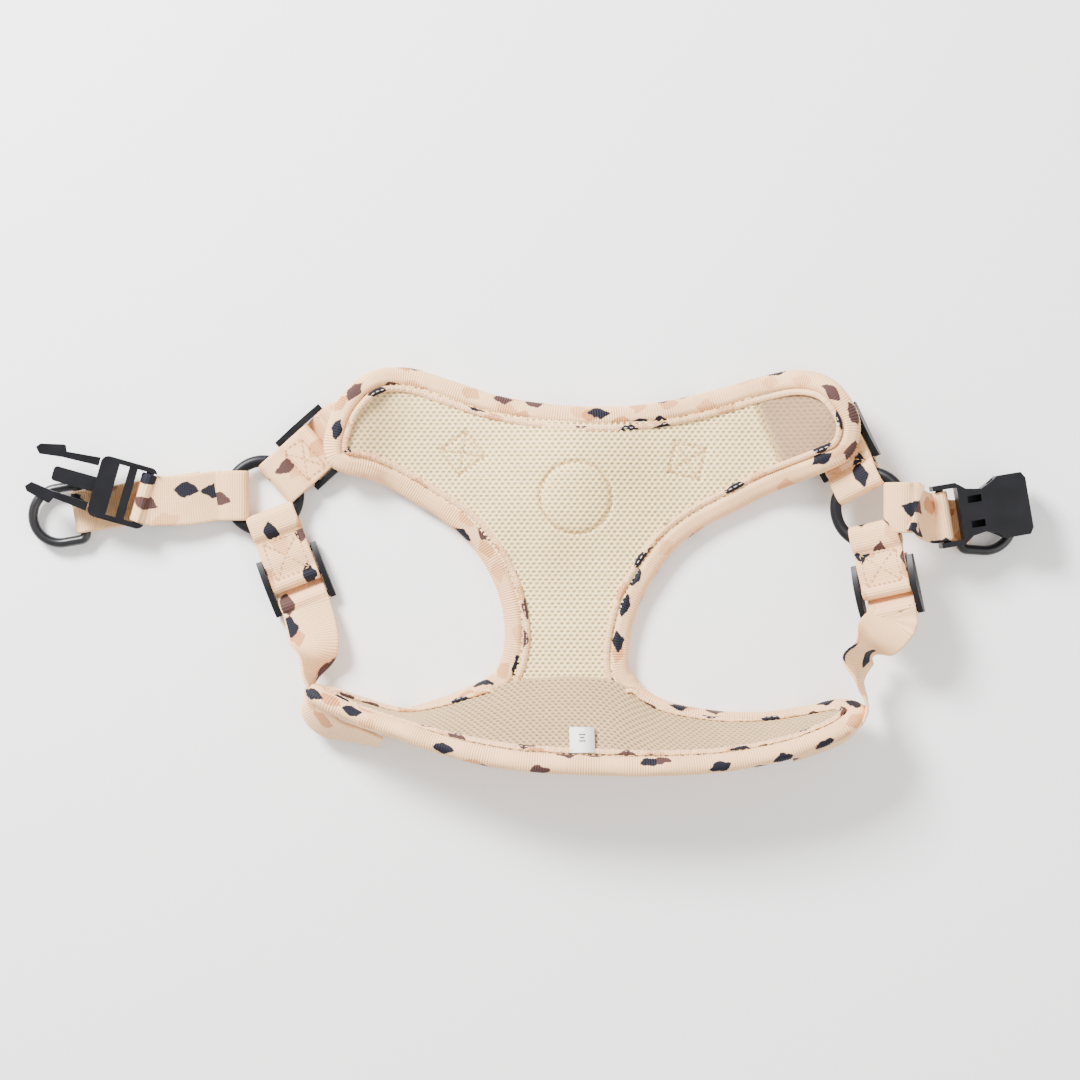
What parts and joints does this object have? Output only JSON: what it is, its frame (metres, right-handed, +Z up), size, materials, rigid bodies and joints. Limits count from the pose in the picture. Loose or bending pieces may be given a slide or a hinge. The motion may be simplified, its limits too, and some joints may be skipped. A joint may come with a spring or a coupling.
{
  "type": "no-pull dog harness",
  "caption": "Padded no-pull dog harness laid open: bone-shaped chest vest, webbing flanks with rings and sliders, side-release back buckle and leash rings.",
  "frame": {"origin": "centre of the overall box, on the floor that the open harness lies on", "axes": "+X along the open back strap towards the female buckle half, +Y towards the neck edge, +Z up, away from the floor, on the lining side"},
  "size_m": [0.402, 0.1614, 0.0402],
  "materials": {
    "webbing": "ribbed polyester webbing, blush, slight sheen",
    "print_shell": "printed polyester, terrazzo chips on blush",
    "foam": "closed-cell foam",
    "air_mesh": "knitted air mesh, cream",
    "binding": "ribbed printed edge tape",
    "label": "woven white tape",
    "patch": "matt moulded rubber",
    "black_plastic": "satin acetal",
    "black_metal": "semi-gloss black"
  },
  "bodies": {
    "vest": {"outer_shell": "print_shell", "foam_core": "foam", "mesh_lining": "air_mesh", "edge_binding": "binding", "size_label": "label", "chest_strip": "webbing", "chest_patch": "patch", "chest_ring_keeper": "webbing", "left_neck_strap": "webbing", "left_girth_strap": "webbing", "left_neck_tab": "webbing", "left_girth_tab": "webbing", "left_ring_loop": "webbing", "left_neck_slider": "black_plastic", "left_girth_slider": "black_plastic", "right_neck_strap": "webbing", "right_girth_strap": "webbing", "right_neck_tab": "webbing", "right_girth_tab": "webbing", "right_ring_loop": "webbing", "right_neck_slider": "black_plastic", "right_girth_slider": "black_plastic"},
    "chest_ring": {"chest_d_ring": "black_metal"},
    "left_ring": {"left_o_ring": "black_plastic"},
    "right_ring": {"right_o_ring": "black_plastic"},
    "left_back": {"left_back_strap": "webbing", "left_leash_tab": "webbing", "male_buckle_base": "black_plastic"},
    "right_back": {"right_back_strap": "webbing", "right_leash_tab": "webbing", "female_buckle": "black_plastic"},
    "left_leash": {"left_leash_ring": "black_metal"},
    "right_leash": {"right_leash_ring": "black_metal"},
    "upper_latch": {"upper_prong": "black_plastic"},
    "lower_latch": {"lower_prong": "black_plastic"}
  },
  "joints": [
    {"name": "chest_ring_tilt", "type": "hinge", "parent": "vest", "child": "chest_ring", "pos_m": [0.01909, 0.0504, 0.00412], "axis": [1, 0, 0], "range_deg": [0, 150]},
    {"name": "left_ring_spin", "type": "hinge", "parent": "vest", "child": "left_ring", "pos_m": [-0.10611, 0.0293, 0.00519], "axis": [0, 0, 1], "continuous": true},
    {"name": "right_ring_spin", "type": "hinge", "parent": "vest", "child": "right_ring", "pos_m": [0.13609, 0.0243, 0.01559], "axis": [-0.4067, 0, 0.9135], "continuous": true},
    {"name": "left_back_fold", "type": "hinge", "parent": "vest", "child": "left_back", "pos_m": [-0.12611, 0.0293, 0.00519], "axis": [0, 1, 0], "range_deg": [-30, 75]},
    {"name": "right_back_fold", "type": "hinge", "parent": "vest", "child": "right_back", "pos_m": [0.15436, 0.0243, 0.02372], "axis": [0, -1, 0], "range_deg": [-30, 60]},
    {"name": "left_leash_tilt", "type": "hinge", "parent": "left_back", "child": "left_leash", "pos_m": [-0.17911, 0.0229, 0.00419], "axis": [0.1736, -0.9848, 0], "range_deg": [-3, 100]},
    {"name": "right_leash_tilt", "type": "hinge", "parent": "right_back", "child": "right_leash", "pos_m": [0.17489, 0.0189, 0.00419], "axis": [0.0698, 0.9976, 0], "range_deg": [-3, 100]},
    {"name": "upper_prong_press", "type": "hinge", "parent": "left_back", "child": "upper_latch", "pos_m": [-0.17018, 0.04267, 0.01256], "axis": [0.1669, -0.0479, 0.9848], "range_deg": [0, 5], "stiffness_Nm_per_rad": 0.2},
    {"name": "lower_prong_press", "type": "hinge", "parent": "left_back", "child": "lower_latch", "pos_m": [-0.17531, 0.02479, 0.01256], "axis": [0.1669, -0.0479, 0.9848], "range_deg": [-5, 0], "stiffness_Nm_per_rad": 0.2}
  ],
  "couplings": [
    {"joint": "lower_prong_press", "follows": "upper_prong_press", "ratio": -1}
  ]
}
